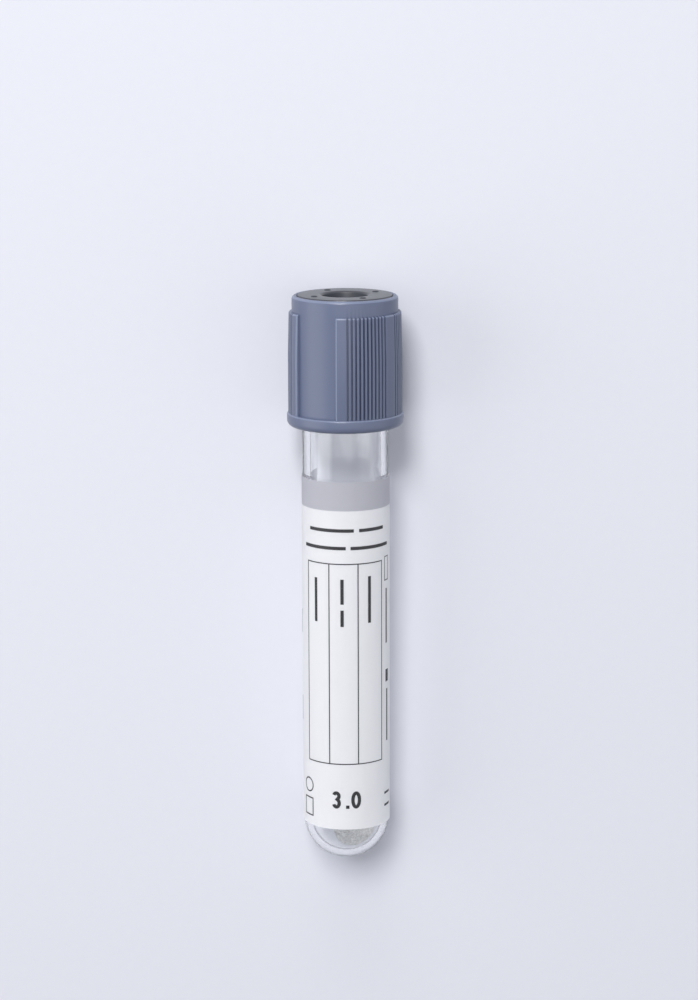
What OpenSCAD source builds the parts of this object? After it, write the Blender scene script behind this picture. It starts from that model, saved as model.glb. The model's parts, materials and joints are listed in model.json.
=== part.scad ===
// Capped evacuated blood collection tube with a round bottom, 13 x 75 mm.
// Each piece is drawn on its own axis, with the tube's round tip at z = 0 and the closure
// upwards, and lie_down() then lays the whole tube on its flange and its dome, along +Y.

/* [Tube] */
// Outside diameter of the tube
tube_d = 13; // [10:0.1:16]
// Length of the tube from its tip to its mouth
tube_len = 75; // [60:1:100]
// Wall thickness of the tube
tube_wall = 1.1; // [0.8:0.05:1.4]
// How far the bore's middle lies above the tube's own, which leaves the thicker side below
bore_rise = 0.04; // [0.02:0.01:0.05]

/* [Closure] */
// Height of the cap shell
cap_h = 19.4; // [17:0.1:22]
// How far the cap's skirt reaches down over the tube
skirt_overlap = 8.1; // [6:0.1:10]
// Outside diameter of the cap's smooth body
cap_d = 15.7; // [15.2:0.1:16]
// Wall thickness of the cap shell
cap_wall = 0.75; // [0.6:0.05:1]
// Outside diameter across the two grip panels
panel_d = 16.9; // [16.8:0.1:18]
// Outside diameter across the panels' tapered upper ends
panel_top_d = 16.6; // [16.4:0.1:16.8]
// Bare stretch of the cap above the grip panels
panel_drop = 2.4; // [1:0.1:4]
// Angle that one grip panel covers
panel_angle = 131.7; // [126:0.1:150]
// Middle of the first grip panel, to the right of the side that faces up
panel_turn = 56.15; // [0:0.05:90]
// Grooves in the first of the two groups on a panel
groove_count = 11; // [4:1:11]
// Grooves in the other group
groove_count_b = 13; // [4:1:13]
// Angle from groove to groove
groove_pitch = 4.19; // [3.8:0.01:4.2]
// Angle between the last groove of one group and the first of the other
groove_zone = 16.2; // [10:0.1:20]
// Angle from a panel's edge to its first groove
panel_margin = 12.2; // [8:0.1:14]
// Diameter across the groove floors
groove_floor_d = 15.9; // [15.8:0.05:16.4]
// Diameter of the flange at the cap's mouth
flange_d = 17.3; // [17.2:0.1:19]
// Height of the flange
flange_h = 2; // [1.5:0.1:3]

/* [Stopper] */
// Depth of the stopper's plug inside the tube
plug_h = 7.4; // [5:0.1:9]
// Radial squeeze room between the plug's rings and the tube
plug_gap = 0.07; // [0.06:0.01:0.1]
// Diameter of the dished recess where the needle goes in
recess_d = 6.8; // [4:0.1:8]
// Depth of that recess
recess_h = 1.8; // [1:0.1:3]
// Diameter of the circle that the four pips stand on
pip_circle_d = 10.4; // [9:0.1:12]
// Diameter of a pip
pip_d = 0.95; // [0.5:0.05:1.5]

/* [Label] */
// Height of the label
label_h = 53.2; // [30:0.1:60]
// Thickness of the label
label_t = 0.05; // [0.05:0.01:0.15]
// Height of the label's lower edge over the tip
label_z = 6.2; // [6:0.1:12]
// Angle of the open strip between the label's two ends
label_gap_angle = 110; // [22:1:150]

/* [Hidden] */
$fn = 96;

tube_r = tube_d / 2;
bore_r = tube_r - tube_wall;
label_r = tube_r + 0.01 + label_t;
cap_z = tube_len - skirt_overlap;
cap_top = cap_z + cap_h;
cap_r = cap_d / 2;
cap_bore_r = cap_r - cap_wall;
panel_r = panel_d / 2;
panel_top_r = panel_top_d / 2;
panel_top = cap_top - panel_drop;
panel_taper_h = 6.5;
panel_edge = 0.15;
flange_r = flange_d / 2;
rim_round = 0.45;
flange_round = 0.5;
edge_steps = 6;

// Turns of the two outer walls' seams, which bring the middle of a facet underneath
shell_seam = -0.967;
tube_seam = -1.385;

stopper_r = cap_bore_r - 0.1;
stopper_top = cap_top - 0.08;
pip_h = 0.28;
seat_gap = 0.05;

// The cap's inner ring that snaps into a groove round the stopper's head
ring_z = tube_len + 4;
ring_h = 1;
ring_r = cap_bore_r - 0.35;

// Lying angle: the line that touches the flange's rounded edge and the dome
run = cap_z + flange_round - tube_r;
reach = flange_r - flange_round;
lie_angle = atan(reach / run) - asin((tube_r - flange_round) / norm([run, reach]));
lift = tube_r - tube_r * sin(lie_angle);
tip_y = tube_r * cos(lie_angle) - tube_r;
rim_y = (cap_top - rim_round) * cos(lie_angle) + (cap_r - rim_round) * sin(lie_angle) + rim_round;

// Lays a piece that is drawn upright down along +Y, with its closure end a little raised.
module lie_down() {
    translate([0, -(tip_y + rim_y) / 2, lift])
        rotate([lie_angle - 90, 0, 0])
            children();
}

// Points of a quarter round of radius r about c, from angle a to a + 90.
function quarter(c, r, a) = [for (i = [0:edge_steps]) c + r * [cos(a + 90 * i / edge_steps),
                                                               sin(a + 90 * i / edge_steps)]];

// Tube: a straight cylinder with a hemispherical bottom, a little draft on the stretch
// inside the cap, and a bore a hair off its middle, so that it rests with one side down.
module tube() {
    mouth_flare = 0.2;
    mouth_draft = 0.05;
    bore_aside = 0.003;
    color([0.86, 0.9, 0.92, 0.35])
    lie_down()
    difference() {
        union() {
            rotate([0, 0, tube_seam]) translate([0, 0, tube_r]) sphere(tube_r);
            rotate([0, 0, tube_seam])
                translate([0, 0, tube_r]) cylinder(r = tube_r, h = cap_z - tube_r);
            rotate([0, 0, tube_seam]) translate([0, 0, cap_z])
                cylinder(r1 = tube_r, r2 = tube_r + mouth_draft, h = tube_len - cap_z);
        }
        translate([bore_aside, -bore_rise, 0]) {
            translate([0, 0, tube_r]) sphere(bore_r);
            translate([0, 0, tube_r]) cylinder(r = bore_r, h = tube_len);
            translate([0, 0, tube_len - mouth_flare])
                cylinder(r1 = bore_r, r2 = bore_r + 2 * mouth_flare, h = 2 * mouth_flare);
        }
    }
}

// Label: a printed sheet rolled round the tube, whose ends leave an open strip underneath.
module label() {
    color("whitesmoke")
    lie_down()
    translate([0, 0, label_z])
        rotate([0, 0, 90 + label_gap_angle / 2])
            rotate_extrude(angle = 360 - label_gap_angle)
                translate([label_r - label_t, 0]) square([label_t, label_h]);
}

// Additive: a thin crust of dried granules in the round bottom, thickest below its middle.
module additive() {
    wall_gap = 0.1;
    crust_r = bore_r - wall_gap;
    crust_way = [1.75, 3.31, -3.75];
    hollow_shift = 2;
    hollow_r = 6.9;
    color([0.8, 0.8, 0.82])
    lie_down()
    translate([0, 0, tube_r])
        difference() {
            sphere(crust_r);
            translate(-hollow_shift * crust_way / norm(crust_way)) sphere(hollow_r);
        }
}

// Half section of the stopper: head, snap groove, plug with two sealing rings, and the
// hollow under the plug that leaves a thin wall for the needle.
module stopper_section() {
    plug_r = bore_r - plug_gap;
    plug_neck = 0.2;
    plug_bottom = tube_len - plug_h;
    seal_h = 1.1;
    hollow_r = 3;
    hollow_h = 4.2;
    groove_r = ring_r - 0.1;
    groove_z = ring_z - 0.1;
    groove_h = ring_h + 0.2;
    head_round = 0.2;
    head_z = tube_len + seat_gap;
    floor_r = recess_d / 2 - 1.1;
    polygon(concat(
        [[0, plug_bottom + hollow_h], [hollow_r - 0.8, plug_bottom + hollow_h],
         [hollow_r, plug_bottom + hollow_h - 0.8], [hollow_r + 0.3, plug_bottom],
         [plug_r - 0.7, plug_bottom]],
        [[plug_r - plug_neck, plug_bottom + 0.6], [plug_r - plug_neck, plug_bottom + 1.2],
         [plug_r, plug_bottom + 1.4], [plug_r, plug_bottom + 1.4 + seal_h],
         [plug_r - plug_neck, plug_bottom + 1.6 + seal_h], [plug_r - plug_neck, head_z - 1.9],
         [plug_r, head_z - 1.7], [plug_r, head_z]],
        [[stopper_r - 0.3, head_z], [stopper_r, head_z + 0.3],
         [stopper_r, groove_z], [groove_r, groove_z + 0.1],
         [groove_r, groove_z + groove_h - 0.1], [stopper_r, groove_z + groove_h]],
        quarter([stopper_r - head_round, stopper_top - head_round], head_round, 0),
        [[recess_d / 2 + 0.2, stopper_top], [recess_d / 2, stopper_top - 0.1],
         [floor_r + 0.4, stopper_top - recess_h + 0.3], [floor_r, stopper_top - recess_h],
         [0, stopper_top - recess_h]]));
}

// Stopper: moulded rubber, with four small pips round the needle recess.
module stopper() {
    pip_turn = 30;
    color("dimgray")
    lie_down()
    union() {
        rotate_extrude() stopper_section();
        for (i = [0:3])
            rotate([0, 0, pip_turn + 90 * i])
                translate([pip_circle_d / 2, 0, stopper_top - 0.2])
                    cylinder(d = pip_d, h = pip_h + 0.2);
    }
}

// Half section of the cap shell without its grip panels.
module shell_section() {
    skirt_lead = 0.3;
    polygon(concat(
        [[cap_bore_r + skirt_lead, cap_z]],
        quarter([flange_r - flange_round, cap_z + flange_round], flange_round, -90),
        [[flange_r, cap_z + flange_h - 0.15], [flange_r - 0.15, cap_z + flange_h],
         [cap_r, cap_z + flange_h]],
        quarter([cap_r - rim_round, cap_top - rim_round], rim_round, 0),
        [[cap_bore_r + 0.1, cap_top], [cap_bore_r, cap_top - 0.15],
         [cap_bore_r, ring_z + ring_h], [ring_r, ring_z + ring_h - 0.2],
         [ring_r, ring_z + 0.2], [cap_bore_r, ring_z],
         [cap_bore_r, cap_z + skirt_lead]]));
}

// Half section of a grip panel, whose outer face tapers in over its upper part.
module panel_section() {
    low = cap_z + flange_h / 2;
    back = cap_r - cap_wall / 2;
    polygon([[back, low], [panel_r, low], [panel_r, panel_top - panel_taper_h],
             [panel_top_r, panel_top - panel_edge], [panel_top_r - panel_edge, panel_top],
             [back, panel_top]]);
}

// One grip panel, centred on +X: a raised sector with two groups of straight grooves.
module grip_panel() {
    groove_w = 2 * PI * panel_r * groove_pitch / 360 / 2;
    first = panel_margin - panel_angle / 2;
    second = first + groove_pitch * (groove_count - 1) + groove_zone;
    difference() {
        rotate([0, 0, -panel_angle / 2])
            rotate_extrude(angle = panel_angle) panel_section();
        for (group = [[first, groove_count], [second, groove_count_b]],
             i = [0:group[1] - 1])
            rotate([0, 0, group[0] + groove_pitch * i])
                translate([groove_floor_d / 2, -groove_w / 2, cap_z])
                    cube([1, groove_w, cap_h]);
    }
}

// Cap shell: one moulding with a rolled rim, a flange and two grooved grip panels.
module cap_shell() {
    color("slategray")
    lie_down()
    union() {
        rotate([0, 0, shell_seam])
            rotate_extrude() shell_section();
        for (half = [0, 180])
            rotate([0, 0, half + panel_turn - 90])
                grip_panel();
    }
}

tube();
label();
additive();
stopper();
cap_shell();
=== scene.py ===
"""A capped blood collection tube that lies on a plain surface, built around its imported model."""

import json
import math
import random

import bmesh
import bpy
from bpy.props import FloatProperty, FloatVectorProperty, IntProperty, PointerProperty
from mathutils import Matrix, Vector, noise


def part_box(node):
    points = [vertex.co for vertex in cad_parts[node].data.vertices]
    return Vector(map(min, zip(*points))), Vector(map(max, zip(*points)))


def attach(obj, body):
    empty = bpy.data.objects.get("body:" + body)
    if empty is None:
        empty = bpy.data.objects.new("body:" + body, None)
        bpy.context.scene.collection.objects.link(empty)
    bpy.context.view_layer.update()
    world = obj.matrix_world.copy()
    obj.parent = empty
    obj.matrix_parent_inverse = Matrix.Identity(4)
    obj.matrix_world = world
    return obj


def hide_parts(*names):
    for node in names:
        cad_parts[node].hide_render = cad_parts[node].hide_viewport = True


bl_info = {
    "name": "Blood Collection Tube",
    "version": (1, 0, 0),
    "blender": (4, 5, 0),
    "location": "3D View > Sidebar > Tube",
    "description": "Builds a capped and labelled blood collection tube around its packed model",
    "category": "Add Mesh",
}

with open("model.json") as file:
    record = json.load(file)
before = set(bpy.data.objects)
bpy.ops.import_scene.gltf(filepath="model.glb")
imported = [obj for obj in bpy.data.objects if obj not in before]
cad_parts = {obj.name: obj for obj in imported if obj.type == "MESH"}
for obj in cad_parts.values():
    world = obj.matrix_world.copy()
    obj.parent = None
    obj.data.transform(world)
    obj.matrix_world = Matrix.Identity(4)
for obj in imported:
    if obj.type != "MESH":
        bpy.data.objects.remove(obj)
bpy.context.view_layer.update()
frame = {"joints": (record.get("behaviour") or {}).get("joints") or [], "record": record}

MM = 0.001
FULL_TURN = 2 * math.pi
MERGE = 1e-7


# ---------------------------------------------------------------- the tube's own axis

def mount(name):
    """The record's entry for one mount."""
    return next(m for m in frame["record"]["mounts"] if m["name"] == name)


SEAT = mount("rack_seat")
LABEL_R = SEAT["dims"]["r_mm"] * MM
LABEL_RISE = 0.06 * MM
TUBE_R = LABEL_R - LABEL_RISE


def axis_frame():
    """(matrix from the tube's own axes to the row's, tube length, mouth radius). On the tube's
    own axes the round tip is at the origin, +Z runs to the closure and -Y faces up."""
    joint = next(j for j in frame["joints"] if j["name"] == "closure_pull")
    along = Vector(joint["axis"]).normalized()
    right = Vector((1, 0, 0))
    down = along.cross(right)
    low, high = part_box("tube")
    seat = Vector(SEAT["pos_m"])
    dome_middle = seat + along * ((low.y + TUBE_R - seat.y) / along.y)
    tip = dome_middle - along * TUBE_R
    mouth = (high.x - low.x) / 2
    length = (high.y - tip.y - mouth * along.z) / along.y
    turned = Matrix((right, down, along)).transposed().to_4x4()
    return Matrix.Translation(tip) @ turned, length, mouth


LAY, TUBE_LEN, MOUTH_R = axis_frame()


def station(point):
    """How far along the tube, from its tip, a point of the row lies."""
    return (LAY.inverted() @ Vector(point)).z


LABEL_LOW = station(SEAT["pos_m"]) - SEAT["dims"]["length_mm"] * MM / 2
CAP_TOP = station(mount("cap_rim")["pos_m"])
FLANGE_R = (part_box("cap_shell")[1].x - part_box("cap_shell")[0].x) / 2


def around(turn, radius, height):
    """A point at an angle from the side that faces up, in degrees towards +X."""
    a = math.radians(turn)
    return Vector((radius * math.sin(a), -radius * math.cos(a), height))


# ---------------------------------------------------------------- settings

def linear(hex_colour):
    """Linear RGBA of an sRGB hex colour."""
    channels = [int(hex_colour[i:i + 2], 16) / 255 for i in (1, 3, 5)]
    curved = [c / 12.92 if c <= 0.04045 else ((c + 0.055) / 1.055) ** 2.4 for c in channels]
    return (*curved, 1.0)


def length_setting(name, description, default, low, high):
    """A size in millimetres, kept in metres."""
    return FloatProperty(name=name, description=description, default=default * MM,
                         min=low * MM, max=high * MM, unit="LENGTH", precision=5)


def angle_setting(name, description, degrees):
    """An angle given in degrees, kept in radians."""
    return FloatProperty(name=name, description=description, default=math.radians(degrees),
                         subtype="ANGLE")


def colour_setting(name, description, hex_colour):
    """A colour, kept linear."""
    return FloatVectorProperty(name=name, description=description, subtype="COLOR", size=4,
                               min=0.0, max=1.0, default=linear(hex_colour))


class TubeSettings(bpy.types.PropertyGroup):
    """Sizes and colours of the tube, its label and what is in it."""

    wall: length_setting("Wall", "Thickness of the tube's wall", 1.1, 0.8, 1.4)
    lip_round: length_setting("Lip", "Rounding of the tube's mouth", 0.35, 0.1, 0.5)
    bore_rise: length_setting("Bore rise", "How far the bore lies above the middle", 0.04, 0, 0.05)
    label_height: length_setting("Label height", "Height of the label", 53.2, 30, 60)
    label_gap: angle_setting("Label gap", "Open strip between the label's ends", 110)
    label_thickness: length_setting("Label thickness", "Thickness of the label", 0.05, 0.03, 0.1)
    band_height: length_setting("Band", "Height of the coloured band", 4.3, 2, 8)
    clear_tint: colour_setting("Clear plastic", "Tint of the tube's plastic", "#fafbfc")
    paper_colour: colour_setting("Paper", "Colour of the label's paper", "#f1f1f2")
    band_colour: colour_setting("Band ink", "Colour of the printed band", "#d2d2d7")
    ink_colour: colour_setting("Line ink", "Colour of the printed lines", "#141418")
    salt_colour: colour_setting("Salt", "Colour of the dried additive", "#bebebd")


class ClosureSettings(bpy.types.PropertyGroup):
    """Sizes and colours of the cap and its stopper."""

    cap_height: length_setting("Cap height", "Height of the cap shell", 19.4, 17, 22)
    body_radius: length_setting("Body radius", "Radius of the smooth body", 7.85, 7.5, 8)
    bore_radius: length_setting("Bore radius", "Radius inside the shell", 7.1, 7, 7.2)
    panel_radius: length_setting("Panel radius", "Radius of the grip panels", 8.45, 8.3, 8.5)
    panel_top_radius: length_setting("Panel top", "Radius of the panels' tops", 8.3, 8.2, 8.4)
    groove_radius: length_setting("Groove radius", "Radius of the groove floors", 7.83, 7.6, 8.2)
    panel_drop: length_setting("Panel drop", "Bare stretch above the panels", 2.4, 1, 4)
    flange_height: length_setting("Flange height", "Height of the flange", 2.0, 1, 3)
    panel_angle: angle_setting("Panel angle", "Angle that a panel covers", 131.7)
    panel_turn: angle_setting("Panel turn", "Middle of the first panel", 56.15)
    panel_margin: angle_setting("Margin", "From a panel's edge to its first groove", 12.2)
    groove_pitch: angle_setting("Pitch", "From groove to groove", 4.19)
    groove_zone: angle_setting("Zone", "Smooth zone between the two groups", 16.2)
    grooves: IntProperty(name="Grooves", description="Grooves in the first group", default=11,
                         min=1, max=11)
    other_grooves: IntProperty(name="Other grooves", description="Grooves in the other group",
                               default=13, min=1, max=13)
    cap_colour: colour_setting("Cap plastic", "Colour of the cap", "#5f6881")
    # A paler colour painted on the cap's edges as a highlight, where light catches the rounds.
    edge_highlight_colour: colour_setting("Cap edges", "Colour of the cap's rubbed edges", "#79829a")
    rubber_colour: colour_setting("Rubber", "Colour of the stopper", "#2f3138")
    dull_colour: colour_setting("Dull rubber", "Colour of the recess and the pips", "#31343c")


# ---------------------------------------------------------------- nodes and materials

def add_node(tree, kind, settings=None, inputs=None):
    """Adds a node, sets its properties, and sets or links its inputs."""
    node = tree.nodes.new(kind)
    for key, value in (settings or {}).items():
        setattr(node, key, value)
    for key, value in (inputs or {}).items():
        if isinstance(value, bpy.types.NodeSocket):
            tree.links.new(value, node.inputs[key])
        else:
            node.inputs[key].default_value = value
    return node


def new_material(name):
    """(material, its emptied node tree)."""
    material = bpy.data.materials.new(name)
    material.use_nodes = True
    material.node_tree.nodes.clear()
    return material, material.node_tree


def finish_material(tree, inputs, *others):
    """Ends a material in one Principled shader, mixed with each (share, shader) in turn."""
    shader = add_node(tree, "ShaderNodeBsdfPrincipled", None, inputs)
    surface = shader.outputs["BSDF"]
    for share, other in others:
        mixed = add_node(tree, "ShaderNodeMixShader", None,
                         {0: share, 1: surface, 2: other.outputs["BSDF"]})
        surface = mixed.outputs["Shader"]
    add_node(tree, "ShaderNodeOutputMaterial", None, {"Surface": surface})


def pattern(tree, size, detail=3.0, stretch=(1, 1, 1)):
    """Height field of lumps of a real size, on Object coordinates."""
    place = add_node(tree, "ShaderNodeTexCoord")
    turned = add_node(tree, "ShaderNodeMapping", None,
                      {"Vector": place.outputs["Object"], "Scale": stretch})
    return add_node(tree, "ShaderNodeTexNoise", None,
                    {"Vector": turned.outputs["Vector"], "Scale": 1 / size, "Detail": detail})


def shaded(tree, field, colour, spread):
    """The colour, made a little darker and lighter where a height field is low and high."""
    dark = [c * (1 - spread) for c in colour[:3]] + [1.0]
    light = [min(1.0, c * (1 + spread)) for c in colour[:3]] + [1.0]
    ramp = add_node(tree, "ShaderNodeValToRGB", None, {"Fac": field.outputs["Fac"]})
    ramp.color_ramp.elements[0].position = 0.3
    ramp.color_ramp.elements[0].color = dark
    ramp.color_ramp.elements[1].position = 0.7
    ramp.color_ramp.elements[1].color = light
    return ramp.outputs["Color"]


def between(tree, field, low, high):
    """A height field's value, mapped to a range."""
    spread = add_node(tree, "ShaderNodeMapRange", None,
                      {"Value": field.outputs["Fac"], "From Min": 0.3, "From Max": 0.7,
                       "To Min": low, "To Max": high})
    return spread.outputs["Result"]


def bumped(tree, field, depth):
    """Normals of a height field of a real depth."""
    bump = add_node(tree, "ShaderNodeBump", None,
                    {"Height": field.outputs["Fac"], "Distance": depth, "Strength": 1.0})
    return bump.outputs["Normal"]


def clear_moulded_polyester(tint):
    """PET, injection moulded: glass-clear and glossy, with faint long flow waves in its wall.
    Lamps shine through it once, straight and a little dimmed, and its outline stays pale."""
    material, tree = new_material("clear_moulded_polyester")
    waves = pattern(tree, 2.5 * MM, 1.0, (1, 0.15, 1))
    path = add_node(tree, "ShaderNodeLightPath")
    slant = add_node(tree, "ShaderNodeLayerWeight", None, {"Blend": 0.5})
    lighting = add_node(tree, "ShaderNodeMath", {"operation": "MAXIMUM"},
                        {0: path.outputs["Is Shadow Ray"], 1: path.outputs["Is Diffuse Ray"]})
    depth = add_node(tree, "ShaderNodeMath", {"operation": "MULTIPLY"},
                     {0: lighting.outputs["Value"], 1: slant.outputs["Facing"]})
    dimming = add_node(tree, "ShaderNodeValToRGB", None, {"Fac": depth.outputs["Value"]})
    dimming.color_ramp.elements[0].color = linear("#fefefe")
    dimming.color_ramp.elements[1].color = linear("#e8eaed")
    through = add_node(tree, "ShaderNodeBsdfTransparent", None,
                       {"Color": dimming.outputs["Color"]})
    rim = add_node(tree, "ShaderNodeMapRange", None,
                   {"Value": slant.outputs["Facing"], "From Min": 0.68, "From Max": 0.86,
                    "To Min": 0.0, "To Max": 0.95})
    share = add_node(tree, "ShaderNodeMath", {"operation": "MAXIMUM"},
                     {0: lighting.outputs["Value"], 1: rim.outputs["Result"]})
    finish_material(tree, {"Base Color": tint, "IOR": 1.57, "Transmission Weight": 1.0,
                           "Roughness": between(tree, waves, 0.02, 0.05),
                           "Normal": bumped(tree, waves, 0.012 * MM)},
                    (share.outputs["Value"], through))
    return material


def coated_paper(name, colour):
    """Coated label paper: white and satin, with a fibre tooth under the coating, drawn coarse
    enough to show. A share of the light that falls on it glows through, and lamps throw only a
    light shadow behind."""
    material, tree = new_material(name)
    fibres = pattern(tree, 0.22 * MM, 4.0, (1, 0.5, 1))
    behind = add_node(tree, "ShaderNodeBsdfTranslucent", None, {"Color": colour})
    path = add_node(tree, "ShaderNodeLightPath")
    passed = add_node(tree, "ShaderNodeMath", {"operation": "MULTIPLY"},
                      {0: path.outputs["Is Shadow Ray"], 1: 0.65})
    through = add_node(tree, "ShaderNodeBsdfTransparent", None, {"Color": colour})
    finish_material(tree, {"Base Color": shaded(tree, fibres, colour, 0.012), "IOR": 1.48,
                           "Roughness": between(tree, fibres, 0.5, 0.6),
                           "Normal": bumped(tree, fibres, 0.004 * MM)},
                    (0.5, behind), (passed.outputs["Value"], through))
    return material


def printed_ink(name, colour):
    """Offset ink on coated paper: flat colour, a little uneven where the fibres show through."""
    material, tree = new_material(name)
    mottle = pattern(tree, 0.3 * MM, 4.0)
    finish_material(tree, {"Base Color": shaded(tree, mottle, colour, 0.03), "IOR": 1.5,
                           "Roughness": between(tree, mottle, 0.42, 0.52)})
    return material


def moulded_butyl_rubber(name, colour, rough, index):
    """Butyl rubber, compression moulded: dark grey with a dusty, fine-pored skin, glossier on
    the flat face than in the recess."""
    material, tree = new_material(name)
    pores = pattern(tree, 0.12 * MM, 5.0)
    finish_material(tree, {"Base Color": shaded(tree, pores, colour, 0.1), "IOR": index,
                           "Roughness": between(tree, pores, rough, rough + 0.08),
                           "Normal": bumped(tree, pores, 0.006 * MM)})
    return material


def moulded_polyethylene(name, colour):
    """Polyethylene, injection moulded: satin, waxy, with a spark-eroded tool's fine grain. A paler
    copy of it paints a highlight along the cap's edges."""
    material, tree = new_material(name)
    grain = pattern(tree, 0.1 * MM, 4.0)
    finish_material(tree, {"Base Color": shaded(tree, grain, colour, 0.025), "IOR": 1.51,
                           "Roughness": between(tree, grain, 0.3, 0.38),
                           "Normal": bumped(tree, grain, 0.0025 * MM)})
    return material


def dried_salt(colour):
    """Fluoride and oxalate salts, dried: dull white crystals of a tenth of a millimetre, drawn
    about twice as coarse so that they show."""
    material, tree = new_material("dried_salt")
    crystals = pattern(tree, 0.24 * MM, 5.0)
    finish_material(tree, {"Base Color": shaded(tree, crystals, colour, 0.34), "IOR": 1.45,
                           "Roughness": between(tree, crystals, 0.6, 0.85),
                           "Normal": bumped(tree, crystals, 0.06 * MM)})
    return material


# ---------------------------------------------------------------- mesh helpers

def arc(centre, radius, start, end, steps):
    """Points of a round in a half section, as (radius, height), at angles in degrees."""
    turns = [math.radians(start + (end - start) * i / steps) for i in range(steps + 1)]
    return [(centre[0] + radius * math.cos(a), centre[1] + radius * math.sin(a)) for a in turns]


def lathe(bm, section, steps, angle=FULL_TURN):
    """Spins a half section, given as (radius, height), about the tube's axis."""
    verts = [bm.verts.new((r, 0, z)) for r, z in section]
    edges = [bm.edges.new(pair) for pair in zip(verts, verts[1:])]
    bmesh.ops.spin(bm, geom=verts + edges, cent=(0, 0, 0), axis=(0, 0, 1), dvec=(0, 0, 0),
                   angle=angle, steps=steps, use_merge=angle == FULL_TURN)


def close_shell(bm):
    """Merges doubled corners and turns every face outwards."""
    bmesh.ops.remove_doubles(bm, verts=bm.verts, dist=MERGE)
    bmesh.ops.dissolve_degenerate(bm, edges=bm.edges, dist=MERGE)
    bmesh.ops.recalc_face_normals(bm, faces=bm.faces)


def turn_outwards(faces):
    """Turns the faces of an open sheet round the tube away from its axis."""
    for face in faces:
        face.normal_update()
        if face.normal.dot(face.calc_center_median() * Vector((1, 1, 0))) < 0:
            face.normal_flip()


def bevel_edges(bm, edges, width, segments):
    """Rounds edges with a bevel of a real width."""
    bmesh.ops.bevel(bm, geom=edges, offset=width, offset_type="OFFSET", segments=segments,
                    profile=0.5, affect="EDGES", clamp_overlap=True, material=-1)


def make_piece(name, bm, materials, body, node, sharp=50):
    """Lays a mesh drawn on the tube's axis into the row and makes it a piece of the model."""
    bm.transform(LAY)
    mesh = bpy.data.meshes.new(name)
    bm.to_mesh(mesh)
    bm.free()
    for material in materials:
        mesh.materials.append(material)
    mesh.polygons.foreach_set("use_smooth", [True] * len(mesh.polygons))
    mesh.set_sharp_from_angle(angle=math.radians(sharp))
    piece = bpy.data.objects.new(name, mesh)
    bpy.context.scene.collection.objects.link(piece)
    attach(piece, body)
    if node:
        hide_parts(node)


# ---------------------------------------------------------------- pieces

class TUBE_OT_add_tube(bpy.types.Operator):
    """Adds the clear round-bottomed tube"""

    bl_idname = "tube.add_tube"
    bl_label = "Add Tube"

    def execute(self, context):
        s = context.scene.tube_settings
        bore, lip = TUBE_R - s.wall, s.lip_round
        closed = CAP_TOP - context.scene.closure_settings.cap_height
        section = (arc((0, TUBE_R), TUBE_R, -90, 0, 24) + [(TUBE_R, closed)]
                   + arc((MOUTH_R - lip, TUBE_LEN - lip), lip, 0, 90, 6)
                   + arc((bore + lip, TUBE_LEN - lip), lip, 90, 180, 6)
                   + arc((0, TUBE_R), bore, 0, -90, 24))
        bm = bmesh.new()
        lathe(bm, section, 128)
        close_shell(bm)
        for vert in bm.verts:
            below = min(0.0, vert.co.z - TUBE_R)
            depth = TUBE_R - Vector((vert.co.x, vert.co.y, below)).length
            vert.co.y -= s.bore_rise * min(1.0, max(0.0, depth / s.wall))
        make_piece("clear_tube", bm, [clear_moulded_polyester(s.clear_tint)], "tube_body",
                   "tube")
        return {"FINISHED"}


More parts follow.
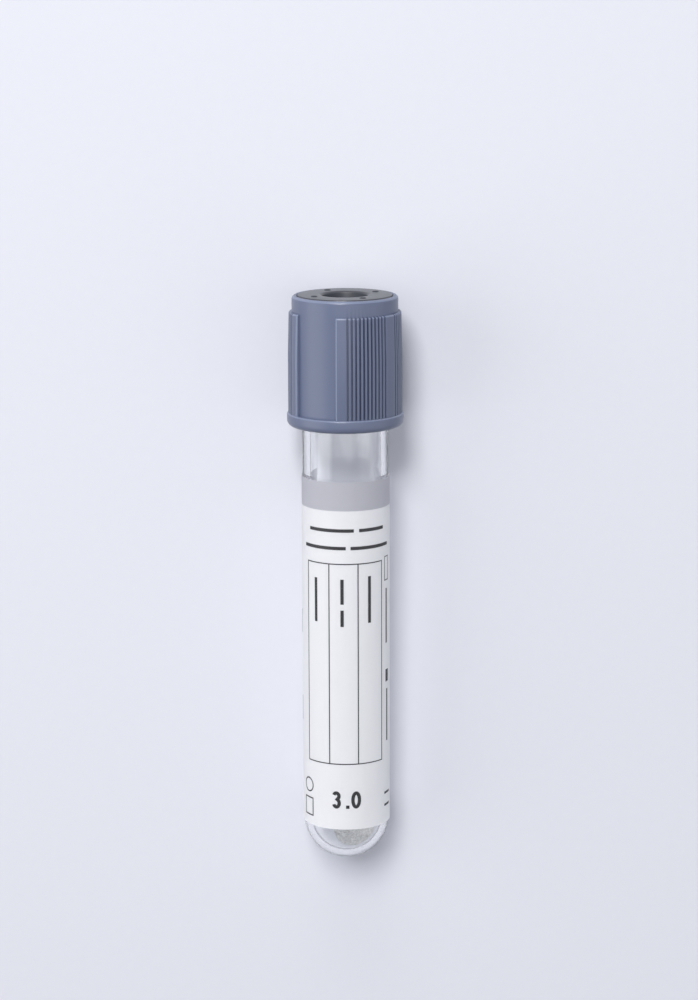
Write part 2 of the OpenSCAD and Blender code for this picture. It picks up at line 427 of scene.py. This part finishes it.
class TUBE_OT_add_label(bpy.types.Operator):
    """Adds the wrapped label with its band and its printed lines"""

    bl_idname = "tube.add_label"
    bl_label = "Add Label"

    def execute(self, context):
        s = context.scene.tube_settings
        self.add_sheet(s)
        self.add_print(s)
        return {"FINISHED"}

    def add_sheet(self, s):
        """The sheet: rolled round the tube, its ends apart underneath."""
        high = LABEL_LOW + s.label_height
        band_low = high - s.band_height
        bm = bmesh.new()
        lathe(bm, [(LABEL_R, LABEL_LOW), (LABEL_R, band_low), (LABEL_R, high)],
              144, FULL_TURN - s.label_gap)
        bmesh.ops.rotate(bm, verts=bm.verts, cent=(0, 0, 0),
                         matrix=Matrix.Rotation(math.pi / 2 + s.label_gap / 2, 3, "Z"))
        turn_outwards(bm.faces)
        for face in bm.faces:
            face.material_index = int(face.calc_center_median().z > band_low)
        bmesh.ops.solidify(bm, geom=bm.faces, thickness=s.label_thickness)
        for face in bm.faces:
            if abs(face.normal.z) > 0.5:
                face.material_index = 0
        make_piece("wrapped_label", bm,
                   [coated_paper("coated_label_paper", s.paper_colour),
                    coated_paper("band_inked_paper", s.band_colour)],
                   "tube_body", "label", 40)

    def add_print(self, s):
        """Plain rules, bars and one plain number, as thin films of ink on the sheet."""
        bm = bmesh.new()
        for path, width in self.table() + self.bars() + self.number():
            self.stroke(bm, path, width)
        make_piece("label_print", bm, [printed_ink("line_ink", s.ink_colour)], "tube_body",
                   None, 40)

    def stroke(self, bm, path, width):
        """One film of ink along a path of (across, height) in mm on the unrolled sheet, where
        across is measured to the right of the side that faces up."""
        lift, thickness, step = 0.006, 0.01, 0.3
        points = [Vector(path[0])]
        for end in path[1:]:
            start, end = points[-1], Vector(end)
            parts = max(1, math.ceil((end - start).length / step))
            points += [start.lerp(end, (i + 1) / parts) for i in range(parts)]
        lanes = max(1, math.ceil(width / step))
        rows = []
        for i, point in enumerate(points):
            ahead = points[min(i + 1, len(points) - 1)] - points[max(i - 1, 0)]
            side = Vector((-ahead.y, ahead.x)).normalized() * width
            rows.append([point + side * (k / lanes - 0.5) for k in range(lanes + 1)])
        verts = [[bm.verts.new(around(math.degrees(p.x * MM / LABEL_R), LABEL_R + lift * MM,
                                      p.y * MM)) for p in row] for row in rows]
        faces = [bm.faces.new((a[k], a[k + 1], b[k + 1], b[k]))
                 for a, b in zip(verts, verts[1:]) for k in range(lanes)]
        turn_outwards(faces)
        bmesh.ops.solidify(bm, geom=faces, thickness=thickness * MM)

    def rectangle(self, across, height, rule):
        """Four strokes round a rectangle."""
        sides = [([(x, height[0]), (x, height[1])], rule) for x in across]
        ends = [([(across[0] - rule / 2, z), (across[1] + rule / 2, z)], rule) for z in height]
        return sides + ends

    def oval(self, middle, wide, tall, start=0, end=360):
        """Points of an upright oval between two angles in degrees."""
        steps = max(8, math.ceil(abs(end - start) / 12))
        turns = [math.radians(start + (end - start) * i / steps) for i in range(steps + 1)]
        return [(middle[0] + wide / 2 * math.cos(a), middle[1] + tall / 2 * math.sin(a))
                for a in turns]

    def table(self):
        """Outline and the two long rules of the blank form."""
        height, rule = (16.4, 47.1), 0.16
        rules = [([(x, height[0]), (x, height[1])], rule) for x in (-2.58, 1.82)]
        return self.rectangle((-6.63, 6.16), height, rule) + rules

    def bars(self):
        """Plain bars where words would be printed, and small plain marks round them."""
        rows = ((52.15, -6.1, 1.2), (52.15, 2.0, 6.5), (49.5, -7.3, 0.0), (49.5, 0.7, 7.8))
        columns = ((-4.87, 38.1, 44.8), (-0.58, 37.6, 40.1), (-0.58, 41.0, 44.8),
                   (3.68, 38.0, 45.1))
        sides = ((7.55, 34.2, 42.6), (7.75, 19.0, 27.1), (-9.7, 35.4, 39.0), (-9.7, 21.8, 25.6))
        marks = [([(a, z), (b, z)], 0.5) for z, a, b in rows]
        marks += [([(x, a), (x, b)], 0.5) for x, a, b in columns]
        marks += [([(x, a), (x, b)], 0.4) for x, a, b in sides]
        marks += self.rectangle((7.0, 8.1), (43.9, 47.5), 0.14)
        marks += [([(7.75, 28.2), (7.75, 30.1)], 0.9)]
        marks += self.rectangle((-7.85, -5.8), (7.7, 10.4), 0.2)
        marks += [(self.oval((-6.8, 12.4), 2.1, 2.1), 0.2)]
        return marks + [([(6.9, z), (8.7, z)], 0.35) for z in (9.0, 10.9)]

    def number(self):
        """A plain 3.0 in bold strokes."""
        low, tall, bold = 9.45, 2.7, 0.52
        upper, lower = tall * 0.46 - bold / 2, tall * 0.54 - bold / 2
        three = (self.oval((-1.56, low + tall - bold / 2 - upper / 2), 0.8, upper, 160, -90)
                 + self.oval((-1.56, low + bold / 2 + lower / 2), 0.86, lower, 90, -160)[1:])
        nought = self.oval((1.45, low + tall / 2), 1.0, tall - bold)
        point = [(-0.1, low + bold / 2), (-0.1 + bold, low + bold / 2)]
        return [(three, bold), (nought, bold), (point, bold)]


class TUBE_OT_add_additive(bpy.types.Operator):
    """Adds the crust of dried salt in the round bottom"""

    bl_idname = "tube.add_additive"
    bl_label = "Add Additive"

    def execute(self, context):
        s = context.scene.tube_settings
        crust_r, hollow_r, shift = 5.3 * MM, 6.9 * MM, 2 * MM
        lump, lump_rise = 0.5 * MM, 0.16 * MM
        way = Vector((1.75, 3.31, -3.75)).normalized()
        reach = math.degrees(math.acos((hollow_r ** 2 - crust_r ** 2 - shift ** 2)
                                       / (2 * crust_r * shift)))
        inner_reach = math.degrees(math.asin(crust_r * math.sin(math.radians(reach)) / hollow_r))
        outer = [(r, z) for z, r in arc((0, 0), crust_r, 0, reach, 24)]
        inner = [(r, z) for z, r in arc((-shift, 0), hollow_r, inner_reach, 0, 24)]
        bm = bmesh.new()
        lathe(bm, outer + inner[1:], 72)
        close_shell(bm)
        for vert in bm.verts:
            if (vert.co - Vector((0, 0, -shift))).length < hollow_r + 0.01 * MM:
                vert.co.z += lump_rise * noise.noise(vert.co / lump)
        self.scatter(bm, crust_r, hollow_r, shift, math.radians(reach))
        turn = Vector((0, 0, 1)).rotation_difference(way).to_matrix().to_4x4()
        bm.transform(Matrix.Translation((0, 0, TUBE_R)) @ turn)
        make_piece("salt_crust", bm, [dried_salt(s.salt_colour)], "tube_body", "additive",
                   60)
        return {"FINISHED"}

    def scatter(self, bm, crust_r, hollow_r, shift, reach):
        """Loose grains on the crust's inner face."""
        draw, grains = random.Random(11), 420
        for _ in range(grains):
            tilt = reach * 0.96 * math.sqrt(draw.random())
            turn = draw.uniform(0, FULL_TURN)
            size = draw.uniform(0.06, 0.17) * MM
            ray = Vector((math.sin(tilt) * math.cos(turn), math.sin(tilt) * math.sin(turn),
                          math.cos(tilt)))
            out = -shift * ray.z + math.sqrt(hollow_r ** 2 - shift ** 2 * (1 - ray.z ** 2))
            place = Matrix.Translation(ray * min(out, crust_r - size))
            squash = Matrix.Diagonal((1, draw.uniform(0.6, 1), draw.uniform(0.6, 1), 1))
            bmesh.ops.create_icosphere(bm, subdivisions=1, radius=size, matrix=place @ squash)


class TUBE_OT_add_stopper(bpy.types.Operator):
    """Adds the rubber stopper"""

    bl_idname = "tube.add_stopper"
    bl_label = "Add Stopper"

    def execute(self, context):
        s = context.scene.closure_settings
        radius, level = s.bore_radius - 0.1 * MM, CAP_TOP + 0.06 * MM
        dull_radius, dull_depth, first_pip = 3.42 * MM, 2 * MM, 30
        bm = bmesh.new()
        lathe(bm, self.section(radius, level), 128)
        close_shell(bm)
        for face in bm.faces:
            middle = face.calc_center_median()
            dull = middle.z > level - dull_depth and middle.xy.length < dull_radius
            face.material_index = int(dull)
        for i in range(4):
            self.pip(bm, math.radians(first_pip + 90 * i), level)
        make_piece("rubber_stopper", bm,
                   [moulded_butyl_rubber("moulded_butyl_rubber", s.rubber_colour, 0.27, 1.65),
                    moulded_butyl_rubber("dull_butyl_rubber", s.dull_colour, 0.48, 1.45)],
                   "stopper_body", "stopper", 45)
        return {"FINISHED"}

    def section(self, radius, level):
        """Half section, from the hollow under the plug round to the recess in the face."""
        s = bpy.context.scene.tube_settings
        plug = TUBE_R - s.wall - 0.07 * MM
        neck, snap_r = plug - 0.2 * MM, radius - 0.35 * MM
        low, head, snap = (TUBE_LEN + z * MM for z in (-7.4, 0.05, 3.9))
        recess, round_r, floor_r, wall = 3.4 * MM, 0.6 * MM, 0.9 * MM, 1.0 * MM
        lean = 15
        hollow = [(0, low + 4.2 * MM)] + arc((2.4 * MM, low + 3.6 * MM), 0.6 * MM, 90, 0, 6)
        foot = [(3.3 * MM, low), (plug - 0.7 * MM, low), (neck, low + 0.6 * MM)]
        rings = []
        for z in (low + 1.2 * MM, head - 2.9 * MM):
            rings += [(neck, z), (plug, z + 0.25 * MM), (plug, z + 1.2 * MM),
                      (neck, z + 1.45 * MM)]
        head_side = [(plug, head - 0.2 * MM), (plug, head), (radius - 0.3 * MM, head),
                     (radius, head + 0.3 * MM), (radius, snap), (snap_r, snap + 0.1 * MM),
                     (snap_r, snap + 1.1 * MM), (radius, snap + 1.2 * MM)]
        edge = arc((radius - 0.2 * MM, level - 0.2 * MM), 0.2 * MM, 0, 90, 6)
        lip = arc((recess + 0.5 * MM, level - round_r), round_r, 90, 180 - lean, 8)
        wall_foot = lip[-1][0] - (wall + lip[-1][1] - level) * math.tan(math.radians(lean))
        centre = (wall_foot - floor_r * math.cos(math.radians(lean)),
                  level - wall + floor_r * math.sin(math.radians(lean)))
        floor = arc(centre, floor_r, -lean, -90, 8)
        return hollow + foot + rings + head_side + edge + lip + floor + [(0, floor[-1][1])]

    def pip(self, bm, turn, level):
        """One small pip on the face, where the moulding gate was torn off."""
        radius, height, sunk, circle = 0.5 * MM, 0.14 * MM, 0.1 * MM, 5.2 * MM
        place = Vector((circle * math.cos(turn), circle * math.sin(turn), level))
        made = bmesh.ops.create_uvsphere(bm, u_segments=24, v_segments=12, radius=radius)
        for vert in made["verts"]:
            vert.co.z *= (height if vert.co.z > 0 else sunk) / radius
        bmesh.ops.translate(bm, verts=made["verts"], vec=place)
        for face in {face for vert in made["verts"] for face in vert.link_faces}:
            face.material_index = 1


class TUBE_OT_add_cap(bpy.types.Operator):
    """Adds the ribbed cap shell"""

    bl_idname = "tube.add_cap"
    bl_label = "Add Cap"

    def execute(self, context):
        s = context.scene.closure_settings
        corners = self.outline(s)
        bm = bmesh.new()
        bmesh.ops.create_circle(bm, segments=len(corners), radius=s.body_radius)
        mark = bm.verts.layers.int.new("corner")
        for i, vert in enumerate(bm.verts):
            vert[mark] = i
        rows = self.rows(s)
        self.place(bm.verts, mark, corners, rows[0])
        ring = bm.edges[:]
        for last, row in zip(rows, rows[1:]):
            made = bmesh.ops.extrude_edge_only(bm, edges=ring)["geom"]
            ring = [g for g in made if isinstance(g, bmesh.types.BMEdge)]
            verts = [g for g in made if isinstance(g, bmesh.types.BMVert)]
            self.place(verts, mark, corners, row)
            for face in (g for g in made if isinstance(g, bmesh.types.BMFace)):
                kinds = [corners[vert[mark]][1] for vert in face.verts]
                # Faces on the edges that catch the light get the paler material, a painted
                # highlight.
                face.material_index = int(self.painted_highlight_face(kinds, last, row))
        close_shell(bm)
        corner_angle, corner_round = 0.7, 0.08 * MM
        sharp = [e for e in bm.edges if e.is_convex and e.calc_face_angle(0) > corner_angle]
        bevel_edges(bm, sharp, corner_round, 3)
        make_piece("ribbed_cap", bm,
                   [moulded_polyethylene("moulded_polyethylene", s.cap_colour),
                    moulded_polyethylene("polyethylene_painted_highlight", s.edge_highlight_colour)],
                   "cap_body", "cap_shell", 50)
        return {"FINISHED"}

    def painted_highlight_face(self, kinds, last, row):
        """Whether a face between two stations lies on an edge that gets the paler colour of a
        painted highlight.
        """
        if last[3] and row[3]:
            return row[1] is not None or not any(isinstance(kind, str) for kind in kinds)
        shoulder = any(isinstance(kind, float) and kind > 0 for kind in kinds)
        return shoulder and row[1] is None and "body" not in kinds

    def outline(self, s):
        """Corners round the cap as (angle, kind), kind being body, groove, or how far below the
        panels' radius a corner of a panel lies."""
        mouth, floor, shoulder, step = 1.0, 0.78, 0.22 * MM, 3.0
        half, middle, margin, pitch, zone = (math.degrees(a) for a in (
            s.panel_angle / 2, s.panel_turn, s.panel_margin, s.groove_pitch, s.groove_zone))
        first = [margin - half + pitch * i for i in range(s.grooves)]
        centres = first + [first[-1] + zone + pitch * i for i in range(s.other_grooves)]
        rounded = [(math.degrees((shoulder - x) / s.panel_radius), 2 * shoulder - y)
                   for x, y in arc((0, shoulder), shoulder, 0, 90, 4)]
        corners = []
        for start in (middle, middle + 180):
            marks = [(-half, "body")] + [(turn - half, drop) for turn, drop in rounded]
            for c in centres:
                marks += [(c - mouth, 0.0), (c - floor, "groove"), (c + floor, "groove"),
                          (c + mouth, 0.0)]
            marks += [(half - turn, drop) for turn, drop in reversed(rounded)]
            marks += [(half, "body"), (180 - half, "body")]
            for (a, kind), (b, _) in zip(marks, marks[1:]):
                parts = max(1, math.ceil((b - a) / step))
                corners += [(start + a + (b - a) * i / parts, kind) for i in range(parts)]
        return corners

    def rows(self, s):
        """Stations of the section as (radius on the panels, radius elsewhere, height, painted
        highlight); where the second is None it follows the outline."""
        low = CAP_TOP - s.cap_height
        shelf, panel_top = low + s.flange_height, CAP_TOP - s.panel_drop
        rim, foot, lip, bore = 0.5 * MM, 0.9 * MM, 0.3 * MM, s.bore_radius
        top = CAP_TOP - 0.04 * MM
        ring_low, ring_high = TUBE_LEN + 4 * MM, TUBE_LEN + 5 * MM
        ring_r, edge, taper = bore - 0.35 * MM, 0.25 * MM, 6.5 * MM
        sides = [(s.panel_radius, shelf), (s.panel_radius, panel_top - taper)]
        tops = arc((s.panel_top_radius - edge, panel_top - edge), edge, 0, 90, 4)
        crown = arc((s.body_radius - rim, top - rim), rim, 0, 90, 8)
        inside = (arc((bore + 0.2 * MM, top - 0.2 * MM), 0.2 * MM, 90, 180, 4)
                  + [(bore, ring_high), (ring_r, ring_high - 0.2 * MM),
                     (ring_r, ring_low + 0.2 * MM), (bore, ring_low), (bore, low + 0.3 * MM),
                     (bore + 0.3 * MM, low)]
                  + arc((FLANGE_R - foot, low + foot), foot, -90, 0, 6))
        ledge = arc((FLANGE_R - lip, shelf - lip), lip, 0, 90, 4)
        # The last field marks the rows on edges that get the painted highlight colour.
        return ([(r, None, z, False) for r, z in sides] + [(r, None, z, True) for r, z in tops]
                + [(s.body_radius, s.body_radius, panel_top, False)]
                + [(r, r, z, 2 <= i <= 6) for i, (r, z) in enumerate(crown)]
                + [(r, r, z, False) for r, z in inside]
                + [(r, r, z, 1 <= i <= 4) for i, (r, z) in enumerate(ledge)]
                + [(s.panel_radius, None, shelf, False)])

    def place(self, verts, mark, corners, row):
        """Puts each corner of a ring at its angle, radius and height."""
        s = bpy.context.scene.closure_settings
        outline = {"body": s.body_radius, "groove": s.groove_radius}
        panel, plain, height, _ = row
        for vert in verts:
            turn, kind = corners[vert[mark]]
            radius = plain or (outline[kind] if kind in outline else panel - kind)
            vert.co = around(turn, radius, height)


# ---------------------------------------------------------------- stage

class TUBE_OT_add_stage(bpy.types.Operator):
    """Adds the floor, the lights and the camera"""

    bl_idname = "tube.add_stage"
    bl_label = "Add Stage"

    def execute(self, context):
        self.add_floor(context.scene)
        self.add_lights(context.scene)
        self.add_camera(context.scene)
        context.scene.view_settings.view_transform = "Standard"
        return {"FINISHED"}

    def add_floor(self, scene):
        """A wide matt sheet under the tube."""
        material, tree = new_material("matt_backdrop_board")
        speckle = pattern(tree, 1.5 * MM, 2.0)
        finish_material(tree, {"Base Color": shaded(tree, speckle, linear("#e4e5ec"), 0.004),
                               "Roughness": 0.9, "Specular IOR Level": 0.2})
        bm = bmesh.new()
        bmesh.ops.create_grid(bm, x_segments=1, y_segments=1, size=3.0)
        mesh = bpy.data.meshes.new("floor")
        bm.to_mesh(mesh)
        bm.free()
        mesh.materials.append(material)
        floor = bpy.data.objects.new("floor", mesh)
        scene.collection.objects.link(floor)

    def add_lights(self, scene):
        """A soft window beyond the closure, a strip overhead, three low cards and a pale room."""
        world = bpy.data.worlds.new("pale_room")
        world.use_nodes = True
        tree = world.node_tree
        tree.nodes.clear()
        path = add_node(tree, "ShaderNodeLightPath")
        seen = path.outputs["Is Camera Ray"]
        for ray in ("Is Glossy Ray", "Is Transmission Ray"):
            seen = add_node(tree, "ShaderNodeMath", {"operation": "MAXIMUM"},
                            {0: seen, 1: path.outputs[ray]}).outputs["Value"]
        room, backdrop = (add_node(tree, "ShaderNodeBackground", None,
                                   {"Color": linear(colour), "Strength": strength})
                          for colour, strength in (("#dde5fc", 0.17), ("#f9faff", 1.0)))
        shown = add_node(tree, "ShaderNodeMixShader", None,
                         {0: seen, 1: room.outputs["Background"],
                          2: backdrop.outputs["Background"]})
        add_node(tree, "ShaderNodeOutputWorld", None, {"Surface": shown.outputs["Shader"]})
        scene.world = world
        target = Vector((0, 0, 0.01))
        for name, way, away, wide, long, share in (
                ("window", (-0.20, 0.75, 1), 1.1, 0.34, 0.34, 0.54),
                ("strip", (0.15, 0, 1), 0.5, 0.2, 0.6, 0.16),
                ("left_card", (-1, 0, 0.4), 0.8, 0.8, 0.8, 0.18),
                ("right_card", (1, -0.3, 0.4), 0.8, 0.8, 0.8, 0.06),
                ("cap_card", (-0.1, 1, 0.35), 0.6, 0.25, 0.25, 0.05)):
            light = bpy.data.lights.new(name, "AREA")
            light.shape = "RECTANGLE"
            light.size, light.size_y = wide, long
            way = Vector(way).normalized()
            light.energy = share * (math.pi * away) ** 2 / way.z
            lamp = bpy.data.objects.new(name, light)
            lamp.location = target + way * away
            lamp.rotation_euler = way.to_track_quat("Z", "Y").to_euler()
            scene.collection.objects.link(lamp)

    def add_camera(self, scene):
        """A long lens over the closure's end, that looks down and back along the tube."""
        beyond, above, aside = 142.59 * MM, 417.45 * MM, 0.5 * MM
        lean, roll = math.radians(11.79), math.radians(-0.19)
        down = (LAY.to_3x3() @ Vector((0, 1, 0))).normalized()
        along = (LAY.to_3x3() @ Vector((0, 0, 1))).normalized()
        look = down * math.cos(lean) - along * math.sin(lean)
        up = along * math.cos(lean) + down * math.sin(lean)
        turned = Matrix((look.cross(up), up, -look)).transposed().to_4x4()
        camera = bpy.data.cameras.new("camera")
        camera.lens = 102.98
        camera.clip_start, camera.clip_end = 0.01, 20
        eye = bpy.data.objects.new("camera", camera)
        place = LAY @ Vector((aside, 0, beyond)) - down * above
        eye.matrix_world = (Matrix.Translation(place) @ turned
                            @ Matrix.Rotation(roll, 4, "Z"))
        scene.collection.objects.link(eye)
        scene.camera = eye


# ---------------------------------------------------------------- panel and running

BUILDERS = (TUBE_OT_add_stage, TUBE_OT_add_tube, TUBE_OT_add_label, TUBE_OT_add_additive,
            TUBE_OT_add_stopper, TUBE_OT_add_cap)


class TUBE_PT_panel(bpy.types.Panel):
    """Lists the operators and the settings"""

    bl_idname = "TUBE_PT_panel"
    bl_label = "Blood Collection Tube"
    bl_space_type = "VIEW_3D"
    bl_region_type = "UI"
    bl_category = "Tube"

    def draw(self, context):
        for builder in BUILDERS:
            self.layout.operator(builder.bl_idname)
        for group in (context.scene.tube_settings, context.scene.closure_settings):
            column = self.layout.column()
            for name in group.bl_rna.properties.keys():
                if name not in ("rna_type", "name"):
                    column.prop(group, name)


CLASSES = (TubeSettings, ClosureSettings, *BUILDERS, TUBE_PT_panel)


def register():
    """Registers the classes and hangs the settings on the scene."""
    for cls in CLASSES:
        bpy.utils.register_class(cls)
    bpy.types.Scene.tube_settings = PointerProperty(type=TubeSettings)
    bpy.types.Scene.closure_settings = PointerProperty(type=ClosureSettings)


def unregister():
    """Takes the settings and the classes away again."""
    del bpy.types.Scene.closure_settings
    del bpy.types.Scene.tube_settings
    for cls in reversed(CLASSES):
        bpy.utils.unregister_class(cls)


def main():
    register()
    bpy.ops.tube.add_stage()
    bpy.ops.tube.add_tube()
    bpy.ops.tube.add_label()
    bpy.ops.tube.add_additive()
    bpy.ops.tube.add_stopper()
    bpy.ops.tube.add_cap()


if __name__ == "__main__":
    main()
